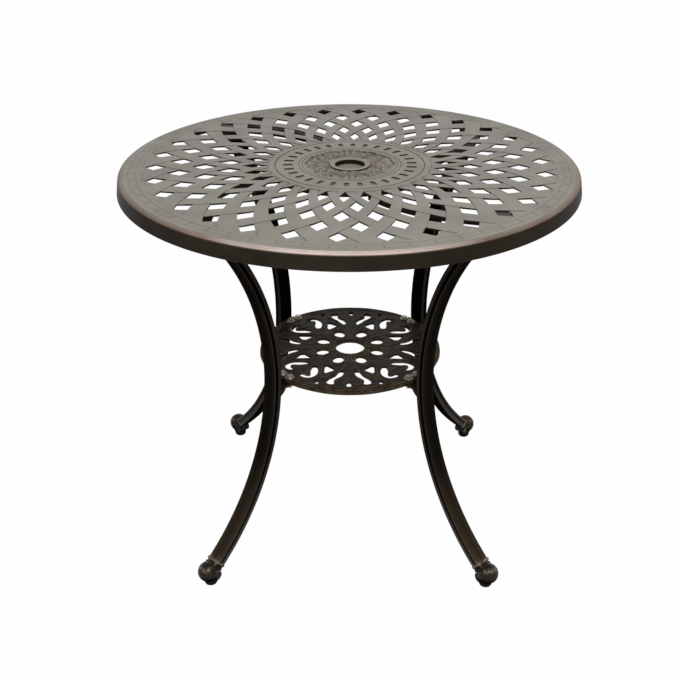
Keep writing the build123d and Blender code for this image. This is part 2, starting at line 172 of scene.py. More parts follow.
def straps(name, hand):
    """All the straps of one hand; the cross lines of a strap run along the straps that it crosses."""
    def place(radius, across, height):
        rows = (radius - first_row_radius) / row_pitch
        offset = across * radians(strap_half_angle + strap_widening * max(rows / widest_row, 0) ** 3)
        over = hand * max(-1, min(1, strap_dwell * cos(pi * rows)))
        radius -= hand * offset / arm_pitch * row_pitch
        radius = min(max(radius, strap_inner_radius), strap_outer_radius)
        rows = (radius - first_row_radius) / row_pitch
        turn = lattice_phase + hand * (rows + 1) * arm_pitch / 2 + offset
        level = strap_level + (height - 0.5) * strap_thickness + over * strap_rise * (0.5 + height)
        return radius, turn, level

    bar = wound_bar(name, strap_flat_width, strap_thickness, strap_steps, strap_edge_round, strap_undercut,
                    strap_inner_radius - strap_overrun, strap_outer_radius + strap_overrun, place)
    ring_copies(bar, arm_count)
    tidy_mesh(bar)
    return bar


table_top = straps("table_top", 1)
cast_with(table_top, straps("counter_straps", -1), "UNION")

# BORDER OF THE TOP
# The border is a flat band with two engraved rings and a ring of brick-like ticks between them.
# Its rounded edge turns down into a thin skirt that flares out to the table's full width.
edge_round = 6.3
edge_centre = (390.6, 712.9)
border_profile = [(355.9, 716), (355.9, 718.6), (356.9, 718.6), (357.3, 719.6), (358, 720)]
border_profile += [(365.2, 720), (365.7, 719.55), (366.3, 719.5), (366.9, 719.9)]
border_profile += [(378.2, 719.9), (378.8, 719.5), (379.4, 719.55), (379.9, 720)]
border_profile += [(388.6, 720), (389.3, 719.85), (389.8, 719.4), (390.2, 719.15)]
for angle in range(88, 7, -8):
    border_profile.append((edge_centre[0] + edge_round * cos(radians(angle)),
                           edge_centre[1] + edge_round * sin(radians(angle))))
border_profile += [(399.75, 693.6), (399.7, 692.7), (399.2, 692.2), (398.4, 692), (395.6, 692)]
border_profile += [(391.9, 713.4), (391.2, 715), (389, 716)]
tick_count = 60
tick_phase = radians(2.4)
tick_size = (11.6 * mm, 0.9 * mm, 1.0 * mm)
tick_middle = (372.6 * mm, 0, table_height + 0.05 * mm)


def turned(name, profile, steps=240, closed=True):
    """A profile of (radius, height) points in millimetres, spun round the table's axis."""
    mesh = bpy.data.meshes.new(name)
    points = [(radius * mm, 0, height * mm) for radius, height in profile]
    lines = [(n, n + 1) for n in range(len(points) - 1)]
    if closed:
        lines.append((len(points) - 1, 0))
    mesh.from_pydata(points, lines, [])
    piece = bpy.data.objects.new(name, mesh)
    bpy.context.collection.objects.link(piece)
    work_on(piece)
    bpy.ops.object.mode_set(mode="EDIT")
    bpy.ops.mesh.select_all(action="SELECT")
    bpy.ops.mesh.spin(steps=steps, angle=2 * pi, center=(0, 0, 0), axis=(0, 0, 1))
    tidy_mesh(piece)
    return piece


border = turned("border", border_profile)
ticks = block("ticks", tick_size, tick_middle)
ticks.data.transform(Matrix.Rotation(tick_phase, 4, "Z"))
ring_copies(ticks, tick_count)
cast_with(border, ticks, "DIFFERENCE")
cast_with(table_top, border, "UNION")

# MEDALLION OF THE TOP
# A thick disc in the middle holds the umbrella hole, a sunk ring of leaves and a ring of slots.
# Fine turned lines run round it; below it a collar takes the umbrella's pole.
medallion_profile = [(26, 694), (26, 708), (27.5, 708), (27.5, 717), (74, 717), (74, 720)]
for line_radius, depth in ((83, 0.5), (89, 0.5), (129.8, 1.1), (141.6, 0.5)):
    medallion_profile += [(line_radius - 0.8, 720), (line_radius - 0.5, 720 - depth)]
    medallion_profile += [(line_radius + 0.5, 720 - depth), (line_radius + 0.8, 720)]
medallion_profile += [(143, 720), (143.7, 719.7), (144, 719), (144, 711), (36, 711), (35, 710)]
medallion_profile += [(35, 694.8), (34.2, 694)]
slot_size = (17 * mm, 8 * mm, 4.2 * mm)
slot_corner = 2 * mm
slot_middle_radius = 108 * mm
recess_sides = 12
recess_corner_radius = 79 * mm
recess_floor = 717 * mm
recess_cut = 6 * mm
leaf_floor = recess_floor - 0.5 * mm
leaf_height = 3.1 * mm
leaf_bend = 0.12
vein_depth = 0.35
foliage_count = 4
palmette_base = 37
palmette_lobes = ((0, 38, 7), (17, 37, 6.4), (-17, 37, 6.4), (34, 35, 6), (-34, 35, 6), (52, 30, 5.6),
                  (-52, 30, 5.6), (72, 22, 5), (-72, 22, 5))
sprig_angle = 45
sprig_lobes = ((38, 0, 0, 36, 7.5), (46, 5, 38, 22, 6), (46, -5, -38, 22, 6), (56, 5, 52, 18, 5.5),
               (56, -5, -52, 18, 5.5), (44, 13, 24, 15, 5), (44, -13, -24, 15, 5), (66, 4, 66, 13, 4.5),
               (66, -4, -66, 13, 4.5))


def leaf(name, base_radius, base_angle, lean, length, width):
    """A pointed leaf with a sunk vein that lies on the recess, in millimetres and degrees."""
    nothing_selected()
    bpy.ops.mesh.primitive_uv_sphere_add(segments=16, ring_count=8, radius=0.5)
    piece = bpy.context.object
    piece.name = name
    bpy.ops.object.mode_set(mode="EDIT")
    bpy.ops.transform.rotate(value=pi / 2, orient_axis="Y", center_override=(0, 0, 0))
    bpy.ops.object.mode_set(mode="OBJECT")
    side = (lean > 0) - (lean < 0)
    for point in piece.data.vertices:
        share = 0.5 + point.co.x
        swell = 1.25 - 0.75 * share
        vein = vein_depth if abs(point.co.y) < 0.04 and point.co.z > 0.1 else 1
        across = point.co.y * width * mm * swell
        bend = leaf_bend * length * mm * sin(pi * share) * side
        point.co = (share * length * mm, across + bend, point.co.z * 2 * leaf_height * vein)
    lie = Matrix.Rotation(radians(base_angle), 4, "Z") @ Matrix.Translation((base_radius * mm, 0, leaf_floor))
    piece.data.transform(lie @ Matrix.Rotation(radians(lean), 4, "Z"))
    return piece


medallion = turned("medallion", medallion_profile)
slots = block("slots", slot_size, (slot_middle_radius, 0, table_height), None, slot_corner, upright_edges)
slots.data.transform(Matrix.Rotation(lattice_phase, 4, "Z"))
ring_copies(slots, arm_count)
cast_with(medallion, slots, "DIFFERENCE")
nothing_selected()
bpy.ops.mesh.primitive_cylinder_add(vertices=recess_sides, radius=recess_corner_radius, depth=recess_cut,
                                    location=(0, 0, recess_floor + recess_cut / 2))
recess = bpy.context.object
bpy.ops.object.transform_apply()
cast_with(medallion, recess, "DIFFERENCE")
palmettes = leaf("palmettes", palmette_base, 0, *palmette_lobes[0])
for lobe in palmette_lobes[1:]:
    cast_with(palmettes, leaf("lobe", palmette_base, 0, *lobe), "UNION")
sprig_base, sprig_turn, *sprig_leaf = sprig_lobes[0]
sprigs = leaf("sprigs", sprig_base, sprig_angle + sprig_turn, *sprig_leaf)
for base, turn, *lobe in sprig_lobes[1:]:
    cast_with(sprigs, leaf("lobe", base, sprig_angle + turn, *lobe), "UNION")
for foliage in (palmettes, sprigs):
    ring_copies(foliage, foliage_count)
    cast_with(medallion, foliage, "UNION")
cast_with(table_top, medallion, "UNION")

# UNDERSIDE OF THE TOP
# Four ribs follow the straps from the medallion to the pads that the legs bolt to.
# They are cast in one with the top and stay hidden behind the skirt.
leg_angles = {"back_right": 45, "back_left": 135, "front_left": 225, "front_right": 315}
first_corner = Matrix.Rotation(radians(45), 4, "Z")
rib_width = 8 * mm
rib_slant = 1.2
rib_underside = 702 * mm
rib_top = 717.4 * mm
rib_inner_radius = 136 * mm
rib_outer_radius = 322 * mm
rib_anchor_radius = 354 * mm
rib_steps = 30
pad_size = (61 * mm, 36 * mm, 11.4 * mm)
pad_middle = (338.5 * mm, 0, 711.7 * mm)
pad_corner = 8 * mm


def rib_place(radius, across, height):
    """Where a point of a rib goes; its upper side stays inside the straps."""
    turn = lattice_phase - radians(90) - (rib_anchor_radius - radius) / row_pitch * arm_pitch / 2
    level = rib_top - (height + 0.5) * (rib_top - rib_underside)
    return radius, turn + across * rib_width / 2 / radius * rib_slant, level


ribs = wound_bar("ribs", rib_width, rib_top - rib_underside, rib_steps, 1.2 * mm, 0.3 * mm, rib_inner_radius,
                 rib_outer_radius, rib_place)
ring_copies(ribs, len(leg_angles))
tidy_mesh(ribs)
cast_with(table_top, ribs, "UNION")
pads = block("pads", pad_size, pad_middle, None, pad_corner, upright_edges, 4)
pads.data.transform(first_corner)
ring_copies(pads, len(leg_angles))
cast_with(table_top, pads, "UNION")

# FINISH OF THE TOP
# Cast aluminium with a satin antique-bronze paint, grey-taupe where it lies flat. Painted shade makes it
# dark brown where it stands upright or lies deep, and painted highlights with a copper rub light the rounded
# edge.
plug_flange_radius = 35 * mm
rim_inner_radius = 388 * mm
# Rim colours by how far up it faces: painted shade down the skirt, painted highlight lines on the rounding.
rim_light_and_shade_stops = ((0.05, (0.028, 0.0228, 0.0165)), (0.2, (0.032, 0.025, 0.018)), (0.42, (0.120, 0.092, 0.076)),
             (0.62, (0.66, 0.545, 0.480)), (0.78, (0.92, 0.790, 0.720)), (0.90, (0.38, 0.325, 0.295)),
             (0.97, (0.90, 0.800, 0.755)))


def smooth(piece, angle=38):
    """Smooth shading with crisp edges, and face-weighted normals so that flat faces stay flat."""
    work_on(piece)
    bpy.ops.object.shade_smooth_by_angle(angle=radians(angle))
    weighted = piece.modifiers.new("weighted", "WEIGHTED_NORMAL")
    weighted.keep_sharp = True
    bpy.ops.object.modifier_apply(modifier=weighted.name)


def dress(piece, finish):
    """Give a piece one finish all over."""
    piece.data.materials.clear()
    piece.data.materials.append(finish)


def node(tree, kind, **settings):
    """Add a node, with its properties, and its input values under their names."""
    made = tree.nodes.new(kind)
    for name, value in settings.pop("inputs", {}).items():
        made.inputs[name].default_value = value
    for name, value in settings.items():
        setattr(made, name, value)
    return made


def feed(tree, place, value):
    """Link a socket to an input, or set a plain value on it."""
    if isinstance(value, bpy.types.NodeSocket):
        tree.links.new(value, place)
    else:
        place.default_value = value


def mix_colors(tree, factor, first, second, blend="MIX"):
    """Blend two colours by a factor; each is a socket or a value."""
    made = node(tree, "ShaderNodeMix", data_type="RGBA", blend_type=blend)
    for place, value in ((0, factor), (6, first), (7, second)):
        feed(tree, made.inputs[place], value)
    return made.outputs[2]


def coat(tree, mask, under, colour):
    """Lay a plain colour over another where a mask says."""
    return mix_colors(tree, mask, under, (*colour, 1))


def spread(tree, value, low, high, to_low=0.0, to_high=1.0):
    """Stretch a value from one range to another, kept within it."""
    made = node(tree, "ShaderNodeMapRange")
    for name, given in (("Value", value), ("From Min", low), ("From Max", high), ("To Min", to_low),
                        ("To Max", to_high)):
        feed(tree, made.inputs[name], given)
    return made.outputs["Result"]


def combine(tree, operation, first, second=0.0):
    """One sum on two values; each is a socket or a number."""
    made = node(tree, "ShaderNodeMath", operation=operation)
    feed(tree, made.inputs[0], first)
    feed(tree, made.inputs[1], second)
    return made.outputs[0]


def times(tree, first, second):
    """The product of two values."""
    return combine(tree, "MULTIPLY", first, second)


def larger(tree, first, second):
    """The larger of two values."""
    return combine(tree, "MAXIMUM", first, second)


def band(tree, value, rise, fall):
    """1 between two edges; each edge is the pair of values over which the band comes or goes."""
    return times(tree, spread(tree, value, *rise), spread(tree, value, *fall))


def distance(tree, first, second):
    """How far off a point is that lies so far one way and so far across."""
    return combine(tree, "SQRT", combine(tree, "ADD", times(tree, first, first), times(tree, second, second)))


def noise(tree, coordinates, scale, detail=4.0):
    """Soft noise on the object's own coordinates."""
    made = node(tree, "ShaderNodeTexNoise", inputs={"Detail": detail})
    tree.links.new(coordinates, made.inputs["Vector"])
    feed(tree, made.inputs["Scale"], scale)
    return made.outputs["Fac"]


def relief(tree, shader, height, strength, depth):
    """A fine relief on the surface, by a height."""
    bump = node(tree, "ShaderNodeBump", inputs={"Strength": strength, "Distance": depth})
    tree.links.new(height, bump.inputs["Height"])
    tree.links.new(bump.outputs["Normal"], shader.inputs["Normal"])


def surface(tree):
    """A point's own coordinates, whole and split, the way it faces, and how far it is from the axis."""
    own = node(tree, "ShaderNodeTexCoord").outputs["Object"]
    place = node(tree, "ShaderNodeSeparateXYZ")
    tree.links.new(own, place.inputs[0])
    facing = node(tree, "ShaderNodeSeparateXYZ")
    tree.links.new(node(tree, "ShaderNodeNewGeometry").outputs["Normal"], facing.inputs[0])
    from_axis = distance(tree, place.outputs["X"], place.outputs["Y"])
    return own, place.outputs, facing.outputs, from_axis


cast_paint = bpy.data.node_groups.new("cast_paint", "ShaderNodeTree")
for way, kind, names in (("INPUT", "NodeSocketColor", ("Paint", "Cloud", "Rub")),
                         ("INPUT", "NodeSocketFloat", ("Cloud Scale", "Rub Amount")),
                         ("INPUT", "NodeSocketFloat", ("Gloss Low", "Gloss High")),
                         ("OUTPUT", "NodeSocketColor", ("Color",)),
                         ("OUTPUT", "NodeSocketFloat", ("Roughness", "Grain"))):
    for name in names:
        cast_paint.interface.new_socket(name=name, in_out=way, socket_type=kind)
given = node(cast_paint, "NodeGroupInput").outputs
result = node(cast_paint, "NodeGroupOutput").inputs
own = node(cast_paint, "ShaderNodeTexCoord").outputs["Object"]
bulge = node(cast_paint, "ShaderNodeNewGeometry").outputs["Pointiness"]
cloud = spread(cast_paint, noise(cast_paint, own, given["Cloud Scale"]), 0.38, 0.66)
grain = noise(cast_paint, own, 900, 2)
patchy = spread(cast_paint, noise(cast_paint, own, 85), 0.4, 0.62, 0.25, 1.0)
rubbed = times(cast_paint, spread(cast_paint, bulge, 0.505, 0.57), patchy)
# Painted shade: near black in hollows and creases, found from the mesh's pointiness.
hollow = spread(cast_paint, bulge, 0.495, 0.44, 0.0, 0.6)
painted = mix_colors(cast_paint, cloud, given["Paint"], given["Cloud"])
painted = mix_colors(cast_paint, times(cast_paint, rubbed, given["Rub Amount"]), painted, given["Rub"])
painted = coat(cast_paint, hollow, painted, (0.006, 0.005, 0.004))
uneven = combine(cast_paint, "ADD", times(cast_paint, cloud, 0.6), times(cast_paint, grain, 0.4))
gloss = spread(cast_paint, uneven, 0.0, 1.0, given["Gloss Low"], given["Gloss High"])
cast_paint.links.new(painted, result["Color"])
cast_paint.links.new(gloss, result["Roughness"])
cast_paint.links.new(grain, result["Grain"])


def paint_finish(name, paint, cloud, rub, cloud_scale, rub_amount, gloss_low, gloss_high):
    """A cast-paint material; gives its tree, the shader, and the group's outputs."""
    material = bpy.data.materials.new(name)
    material.use_nodes = True
    tree = material.node_tree
    shader = tree.nodes["Principled BSDF"]
    values = {"Paint": (*paint, 1), "Cloud": (*cloud, 1), "Rub": (*rub, 1), "Cloud Scale": cloud_scale,
              "Rub Amount": rub_amount, "Gloss Low": gloss_low, "Gloss High": gloss_high}
    group = node(tree, "ShaderNodeGroup", node_tree=cast_paint)
    for place, value in values.items():
        group.inputs[place].default_value = value
    tree.links.new(group.outputs["Color"], shader.inputs["Base Color"])
    tree.links.new(group.outputs["Roughness"], shader.inputs["Roughness"])
    relief(tree, shader, group.outputs["Grain"], 0.12, 0.6 * mm)
    return material, tree, shader, group.outputs


top_finish, tree, shader, painted = paint_finish(
    "antique_bronze_top", (0.226, 0.214, 0.182), (0.190, 0.180, 0.154), (0.27, 0.215, 0.17), 14, 0.2,
    0.40, 0.52)
own, place, facing, from_axis = surface(tree)
# A copper rub with a painted sheen on the rounded faces, set by how far up they face.
rounded = band(tree, facing["Z"], (0.45, 0.85), (0.99, 0.93))
colour = coat(tree, times(tree, rounded, 0.6), painted["Color"], (0.21, 0.150, 0.110))
in_recess = band(tree, from_axis, (plug_flange_radius + 0.4 * mm, plug_flange_radius + 0.8 * mm),
                 (recess_corner_radius + 0.5 * mm, recess_corner_radius - 0.5 * mm))
# Painted shade: upright faces turn dark brown, and only a little in the leaf recess.
standing_shade = times(tree, spread(tree, facing["Z"], 0.86, 0.35), spread(tree, in_recess, 0, 1, 1, 0.15))
colour = coat(tree, standing_shade, colour, (0.013, 0.0105, 0.008))

patches = noise(tree, own, 45)
warm = times(tree, in_recess, spread(tree, patches, 0.46, 0.64, 0.0, 0.35))
colour = coat(tree, warm, colour, (0.24, 0.180, 0.140))
# Painted shade: a darker tone low in the recess, between the leaves.
shade_between_leaves = spread(tree, place["Z"], recess_floor + 2.0 * mm, recess_floor + 0.1 * mm, 0.0, 0.85)
colour = coat(tree, times(tree, in_recess, shade_between_leaves), colour, (0.190, 0.175, 0.147))
# Painted shade and highlight specks in the recess, in place of the foliage's finer relief.
fine = noise(tree, own, 210, 3)
shade_specks = times(tree, in_recess, spread(tree, fine, 0.45, 0.37, 0.0, 0.75))
colour = coat(tree, shade_specks, colour, (0.040, 0.034, 0.027))
highlight_specks = times(tree, in_recess, spread(tree, fine, 0.56, 0.66, 0.0, 0.7))
colour = coat(tree, highlight_specks, colour, (0.40, 0.365, 0.310))

in_slots = band(tree, from_axis, (slot_middle_radius - 10.5 * mm, slot_middle_radius - 9.5 * mm),
                (slot_middle_radius + 10.5 * mm, slot_middle_radius + 9.5 * mm))
# Painted shade: the floors of the slots are darker.
sunk = spread(tree, place["Z"], table_height - 0.8 * mm, table_height - 1.8 * mm, 0.0, 0.85)
colour = coat(tree, times(tree, in_slots, sunk), colour, (0.120, 0.106, 0.088))
# Painted shade: everything below the straps outside the medallion is near black, such as the ribs, pads and
# undersides.
past_medallion = spread(tree, from_axis, strap_inner_radius - 0.5 * mm, strap_inner_radius + 0.5 * mm)
shade_underneath = spread(tree, place["Z"], table_height - 2.1 * mm, table_height - 2.5 * mm)
colour = coat(tree, times(tree, past_medallion, shade_underneath), colour, (0.016, 0.0125, 0.009))

# Painted highlights and shade on the rim, from the stops above, by how the rim faces.
rim_light_and_shade = node(tree, "ShaderNodeValToRGB")
tree.links.new(facing["Z"], rim_light_and_shade.inputs["Fac"])
for level, shade in rim_light_and_shade_stops[2:]:
    rim_light_and_shade.color_ramp.elements.new(level)
for stop, (level, shade) in zip(rim_light_and_shade.color_ramp.elements, rim_light_and_shade_stops):
    stop.position = level
    stop.color = (*shade, 1)
# The painted rim light is dimmed in broad patches and away from the front of the table.
rim_dimming_patches = spread(tree, noise(tree, own, 7), 0.4, 0.6, 0.6, 0.0)
rim_colour = mix_colors(tree, rim_dimming_patches, rim_light_and_shade.outputs["Color"], (0.45, 0.40, 0.36, 1), "MULTIPLY")
off_front = spread(tree, combine(tree, "DIVIDE", place["Y"], from_axis), -0.985, -0.85)
dimmed_off_front = times(tree, spread(tree, facing["Z"], 0.15, 0.5), off_front)
rim_colour = mix_colors(tree, dimmed_off_front, rim_colour, (0.30, 0.255, 0.215, 1), "MULTIPLY")
on_rim = times(tree, spread(tree, from_axis, rim_inner_radius, rim_inner_radius + 0.6 * mm),
               spread(tree, facing["Z"], 0.996, 0.985))
colour = mix_colors(tree, on_rim, colour, rim_colour)
tree.links.new(colour, shader.inputs["Base Color"])
tree.links.new(spread(tree, facing["Z"], 0.3, 0.9, 0.03, 0.22), shader.inputs["Specular IOR Level"])

smooth(table_top)
dress(table_top, top_finish)
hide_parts("top_casting")
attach(table_top, "frame")

# UMBRELLA HOLE PLUG
# A spun dish with a rounded flange that drops into the recess and closes the umbrella hole.
# It carries the top's paint and lifts straight out.
plug_profile = [(0, 709), (26.4, 709), (27.2, 709.8), (27.2, 717), (34.4, 717), (35, 717.5), (35, 719)]
plug_profile += [(34.7, 719.6), (34, 719.9), (32, 720), (28.2, 720), (26.7, 719.7), (25.9, 718.8)]
plug_profile += [(25.7, 717.5), (25.7, 713), (25.2, 711.7), (24, 711), (19, 710.9), (18.4, 710.6)]
plug_profile += [(17.8, 710.9), (0, 711)]
plug = turned("umbrella_plug", plug_profile, 96, closed=False)
smooth(plug)
dress(plug, top_finish)
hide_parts("umbrella_hole_plug")
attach(plug, "plug")

# LEGS
# Each leg is one tube of rounded oblong section, bent to two arcs that meet at a waist and cut flat
# under the flange. A groove runs down each narrow side, and the outer face is slightly hollow.
waist_radius = 191.45
waist_height = 379.5
upper_arc_centre = 633.73
upper_arc_angle = 49.5
lower_arc_centre = 646.97
lower_arc_angle = 47.73
arc_steps = 72
leg_top = 701 * mm
leg_half_depth = 9.25
leg_half_width = 14.5
leg_rounding = 3
groove_middle = 2.4
groove_floor = 13.0
leg_corner = []
for angle in (18, 36, 54, 72, 90):
    leg_corner.append((leg_half_depth - leg_rounding + leg_rounding * cos(radians(angle)),
                       leg_half_width - leg_rounding + leg_rounding * sin(radians(angle))))
leg_groove = [(3.0, leg_half_width), (2.6, 14.3), (2.1, 13.2), (1.4, groove_floor)]
leg_half = [(8.75, 0), (8.8, 1.9), (9.1, 2.9), (leg_half_depth, 3.5), (leg_half_depth, 11.6)] + leg_corner
leg_half += [(groove_middle + x, y) for x, y in leg_groove]
leg_half += [(groove_middle - x, y) for x, y in leg_groove[::-1]]
leg_half += [(-x, y) for x, y in leg_corner[::-1]] + [(-leg_half_depth, 11.6), (-leg_half_depth, 0)]
leg_section = leg_half + [(x, -y) for x, y in leg_half[-2:0:-1]]


def copies_at_corners(piece, name, finish, body, node_name):
    """Turn copies of a piece made along +X to the four corners, each with its own mesh."""
    for corner, angle in leg_angles.items():
        copy = piece.copy()
        copy.data = piece.data.copy()
        copy.name = f"{name}_{corner}"
        bpy.context.collection.objects.link(copy)
        copy.data.transform(Matrix.Rotation(radians(angle), 4, "Z"))
        dress(copy, finish)
        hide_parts(f"{node_name}_{corner}")
        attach(copy, body.format(corner))
    bpy.data.objects.remove(piece)


leg_mesh = bpy.data.meshes.new("leg")
leg_points = [((waist_radius + x) * mm, y * mm, waist_height * mm) for x, y in leg_section]
leg_mesh.from_pydata(leg_points, [(n, (n + 1) % len(leg_points)) for n in range(len(leg_points))], [])
leg = bpy.data.objects.new("leg", leg_mesh)
bpy.context.collection.objects.link(leg)
work_on(leg)
bpy.ops.object.mode_set(mode="EDIT")
bpy.ops.mesh.select_all(action="SELECT")
bpy.ops.mesh.spin(steps=arc_steps, angle=-radians(upper_arc_angle), axis=(0, 1, 0),
                  center=(upper_arc_centre * mm, 0, waist_height * mm))
pick_edges(leg, lambda middle, along: abs(middle.z - waist_height * mm) < 1e-6 and abs(along.z) < 0.1)
bpy.ops.mesh.spin(steps=arc_steps, angle=radians(lower_arc_angle), axis=(0, 1, 0),
                  center=(lower_arc_centre * mm, 0, waist_height * mm))
bpy.ops.mesh.edge_face_add()
bpy.ops.mesh.select_all(action="SELECT")
bpy.ops.mesh.bisect(plane_co=(0, 0, leg_top), plane_no=(0, 0, 1), use_fill=True, clear_outer=True)
tidy_mesh(leg)
smooth(leg, 32)

frame_finish, tree, shader, painted = paint_finish(
    "antique_bronze_frame", (0.026, 0.0175, 0.0090), (0.036, 0.0245, 0.0125), (0.16, 0.115, 0.085), 9, 0.7,
    0.28, 0.42)
own, place, facing, from_axis = surface(tree)
sideways = combine(tree, "SUBTRACT", times(tree, place["X"], facing["Y"]),
                   times(tree, place["Y"], facing["X"]))
sideways = combine(tree, "ABSOLUTE", combine(tree, "DIVIDE", sideways, from_axis))
outwards = combine(tree, "ADD", times(tree, place["X"], facing["X"]), times(tree, place["Y"], facing["Y"]))
outwards = combine(tree, "DIVIDE", outwards, from_axis)
narrow_side = spread(tree, sideways, 0.80, 0.97)
shaded_inner_face = spread(tree, outwards, -0.15, -0.5)
outer_face = spread(tree, outwards, 0.25, 0.5)

above_waist = combine(tree, "SUBTRACT", place["Z"], waist_height * mm)
is_below = combine(tree, "LESS_THAN", above_waist, 0)
arc_centre = spread(tree, is_below, 0, 1, upper_arc_centre * mm, lower_arc_centre * mm)
arc_radius = combine(tree, "SUBTRACT", arc_centre, waist_radius * mm)
to_centre = distance(tree, combine(tree, "SUBTRACT", arc_centre, from_axis), above_waist)
off_groove = combine(tree, "SUBTRACT", combine(tree, "SUBTRACT", arc_radius, to_centre), groove_middle * mm)
off_groove = combine(tree, "ABSOLUTE", off_groove)
off_centre = combine(tree, "SUBTRACT", combine(tree, "ABSOLUTE", place["X"]),
                     combine(tree, "ABSOLUTE", place["Y"]))
off_centre = times(tree, combine(tree, "ABSOLUTE", off_centre), cos(radians(45)))

# Painted shade: the legs darken from 5 to 22 cm up and stay dark under the top, and darker still on their
# inner faces.
shaded_high_up = spread(tree, place["Z"], 0.05, 0.22)
colour = coat(tree, times(tree, shaded_high_up, 0.9), painted["Color"], (0.0070, 0.0060, 0.0047))
colour = coat(tree, shaded_inner_face, colour, (0.0040, 0.0034, 0.0027))
# Painted reflections: pale strips beside the side grooves and along the outer face's edges, weaker higher up.
side_reflection = times(tree, narrow_side, spread(tree, off_groove, 2.6 * mm, 3.2 * mm))
edge_reflection = times(tree, outer_face, spread(tree, off_centre, 7.0 * mm, 9.5 * mm, 0.0, 0.14))
pale = times(tree, larger(tree, side_reflection, edge_reflection), spread(tree, shaded_high_up, 0.0, 1.0, 0.40, 0.26))
colour = coat(tree, pale, colour, (0.110, 0.088, 0.076))
# Painted shade: near black in the side grooves and faintly in the middle of the hollow outer face.
hollow_face_shade = times(tree, outer_face, spread(tree, off_centre, 3.4 * mm, 2.2 * mm, 0.0, 0.15))
sunk = larger(tree, spread(tree, off_groove, 2.9 * mm, 2.3 * mm, 0.0, 0.9), hollow_face_shade)
colour = coat(tree, sunk, colour, (0.0020, 0.0017, 0.0014))
tree.links.new(colour, shader.inputs["Base Color"])
dull = larger(tree, shaded_high_up, shaded_inner_face)
tree.links.new(spread(tree, dull, 0.0, 1.0, 0.06, 0.0), shader.inputs["Specular IOR Level"])
copies_at_corners(leg, "curved_leg", frame_finish, "frame", "leg")

# LEG FLANGES AND SHELF BRACKETS
# Plates welded to the tubes: a flange across the top end of each, and a tab with a curved web
# under the shelf. They wear the legs' paint.
for corner in leg_angles:
    for plate in (f"leg_flange_{corner}", f"shelf_bracket_{corner}"):
        dress(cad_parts[plate], frame_finish)

# LOWER SHELF
# A pierced disc of scrollwork with a hole for the pole, cast with rounded edges and raised ridges
# along its leaves. It rests on the brackets and is bolted down at the legs.
shelf_top = 360 * mm
shelf_thickness = 7 * mm
shelf_radius = 170 * mm
shelf_bore_radius = 27 * mm
shelf_edge = 1.4 * mm
shelf_hollow = [(35, 350), (146, 350), (146, 356), (35, 356)]
shelf_bolt_radius = 160 * mm
shelf_bolt_offset = 9.5 * mm
shelf_bolt_hole = 3.3 * mm
corner_share = 0.18
leaf_hole = [(0.11, 22.5), (0.21, 12.5), (0.28, 22.5), (0.21, 32.5)]
wedge_hole = [(0.605, 24), (0.455, 15.5), (0.385, 33)]
comma_hole = [(0.81, 11), (0.72, 12), (0.585, 6.5), (0.475, 8), (0.60, 13), (0.73, 17), (0.81, 16)]
hook_hole = [(0.78, 40), (0.80, 33.5), (0.73, 29.5), (0.565, 32), (0.505, 40), (0.60, 38.5), (0.72, 34),
             (0.75, 40)]
dot_hole = [(0.80, 23), (0.83, 21.6), (0.87, 23), (0.83, 24.4)]
axis_hole = [(0.85, -2.2), (0.85, 2.2), (0.73, 0)]
scroll_ridges = [
    [(0.03, 3), (0.16, 4), (0.30, 6), (0.43, 8.7), (0.60, 16), (0.74, 22.5)],
    [(0.03, 42), (0.16, 41), (0.30, 39.5), (0.41, 35.5), (0.52, 29.5), (0.64, 25.5), (0.74, 22.5)],
    [(0.06, 22.5), (0.20, 9.5), (0.33, 17), (0.335, 22.5), (0.33, 28), (0.20, 35.5), (0.06, 22.5)],
    [(0.56, 3.2), (0.68, 8.5), (0.77, 9.5), (0.82, 7), (0.79, 4.2)],
    [(0.62, 44), (0.66, 38.5), (0.74, 37.5), (0.73, 43)],
    [(0.90, 1), (0.91, 12), (0.90, 22.5), (0.92, 31)],
]
ridge_radius = 1.3 * mm
ridge_sink = 0.35 * mm
ridge_rings = (30.6 * mm, 164.5 * mm)
middle_of_shelf = Vector((0, 0, 0))


def scroll(outline, start, hand=1):
    """Plan points of the scrollwork, each a share of the way from the bore to the edge and an angle."""
    points = []
    for share, turn in outline:
        radius = shelf_bore_radius + share * (shelf_radius - shelf_bore_radius)
        angle = radians(start + hand * turn)
        points.append(Vector((radius * cos(angle), radius * sin(angle), 0)))
    return points


def smooth_outline(curve, points, cyclic=True, handles="AUTO"):
    """Add a curve through the points, smooth or with straight sides."""
    line = curve.splines.new("BEZIER")
    line.bezier_points.add(len(points) - 1)
    line.use_cyclic_u = cyclic
    line.resolution_u = 6
    for handle, point in zip(line.bezier_points, points):
        handle.co = point
        handle.handle_left_type = handles
        handle.handle_right_type = handles
    return line


def round_outline(curve, middle, radius, count=8, resolution=8):
    """Add a circle to the curve."""
    points = []
    for n in range(count):
        angle = 2 * pi * n / count
        points.append(middle + Vector((radius * cos(angle), radius * sin(angle), 0)))
    smooth_outline(curve, points).resolution_u = resolution


def softened(points):
    """Each corner of a polygon split in two, so that its outline is rounded there."""
    soft = []
    for n, corner in enumerate(points):
        before, after = points[n - 1], points[(n + 1) % len(points)]
        soft.append(corner.lerp(before, corner_share))
        soft.append(corner.lerp(after, corner_share))
    return soft


def mesh_of(name, curve):
    """An object with the curve made into a mesh."""
    piece = bpy.data.objects.new(name, curve)
    bpy.context.collection.objects.link(piece)
    work_on(piece)
    bpy.ops.object.convert(target="MESH")
    tidy_mesh(piece, 1e-5)
    return piece


